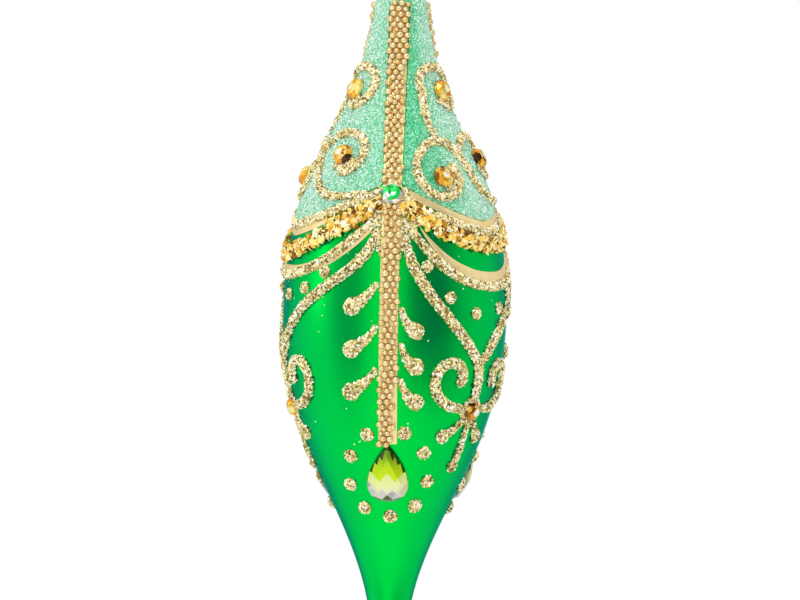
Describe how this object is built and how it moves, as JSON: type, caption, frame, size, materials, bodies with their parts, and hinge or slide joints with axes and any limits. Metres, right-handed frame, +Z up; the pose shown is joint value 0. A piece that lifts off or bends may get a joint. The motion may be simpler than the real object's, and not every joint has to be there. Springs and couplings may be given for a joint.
{
  "type": "finial ornament",
  "caption": "Slender blown-glass finial ornament with jewelled scrolls, bead bands and swags, a long tapering tail, a pull-off crown cap and a spring-wire hanging loop.",
  "frame": {"origin": "the point inside the top of the wire loop where a hook bears", "axes": "+Z up the ornament's long axis, -Y out through the front bead band, +X to its right"},
  "size_m": [0.0557, 0.0565, 0.2367],
  "materials": {
    "green_lacquer": "satin green lacquer over silvered blown glass",
    "frost_glitter": "coat of fine frosted glass glitter over the green",
    "gold_enamel": "smooth gold enamel paint",
    "gold_beads": "glossy gold microbeads",
    "gold_glitter": "coarse gold glitter in a raised glue line",
    "gold_chips": "mirrored amber-gold glass chips",
    "green_crystal": "foil-backed cut green crystal",
    "amber_crystal": "foil-backed cut amber crystal",
    "olive_crystal": "foil-backed cut olivine crystal",
    "cap_gold": "pressed gold-plated sheet",
    "hanger_steel": "plated spring wire"
  },
  "bodies": {
    "ornament": {"glass_body": "green_lacquer", "glitter_coat": "frost_glitter", "gold_band_1": "gold_enamel", "gold_band_2": "gold_enamel", "gold_band_3": "gold_enamel", "bead_strip_1": "gold_beads", "bead_strip_2": "gold_beads", "bead_strip_3": "gold_beads", "upper_stripe_1": "gold_enamel", "upper_stripe_2": "gold_enamel", "upper_stripe_3": "gold_enamel", "lower_stripe_1": "gold_enamel", "lower_stripe_2": "gold_enamel", "lower_stripe_3": "gold_enamel", "upper_ridge_1": "gold_glitter", "upper_ridge_2": "gold_glitter", "upper_ridge_3": "gold_glitter", "lower_ridge_1": "gold_glitter", "lower_ridge_2": "gold_glitter", "lower_ridge_3": "gold_glitter", "chip_garland_1": "gold_chips", "chip_garland_2": "gold_chips", "chip_garland_3": "gold_chips", "upper_scroll_1": "gold_glitter", "upper_scroll_2": "gold_glitter", "upper_scroll_3": "gold_glitter", "lower_scroll_1": "gold_glitter", "lower_scroll_2": "gold_glitter", "lower_scroll_3": "gold_glitter", "tassel_drops_1": "gold_glitter", "tassel_drops_2": "gold_glitter", "tassel_drops_3": "gold_glitter", "band_drops_1": "gold_glitter", "band_drops_2": "gold_glitter", "band_drops_3": "gold_glitter", "swag_dots_1": "gold_glitter", "swag_dots_2": "gold_glitter", "swag_dots_3": "gold_glitter", "pear_dots_1": "gold_glitter", "pear_dots_2": "gold_glitter", "pear_dots_3": "gold_glitter", "pear_crystal_1": "olive_crystal", "pear_crystal_2": "olive_crystal", "pear_crystal_3": "olive_crystal", "crown_stone_1": "green_crystal", "crown_stone_2": "green_crystal", "crown_stone_3": "green_crystal", "amber_stones_1": "amber_crystal", "amber_stones_2": "amber_crystal", "amber_stones_3": "amber_crystal"},
    "cap": {"crown_cap": "cap_gold"},
    "hanger": {"hanger_wire": "hanger_steel"}
  },
  "joints": [
    {"name": "cap_lift", "type": "slide", "parent": "ornament", "child": "cap", "axis": [0, 0, 1], "range_m": [0, 0.03]},
    {"name": "hanger_slide", "type": "slide", "parent": "cap", "child": "hanger", "axis": [0, 0, 1], "range_m": [0, 0.0035]}
  ]
}
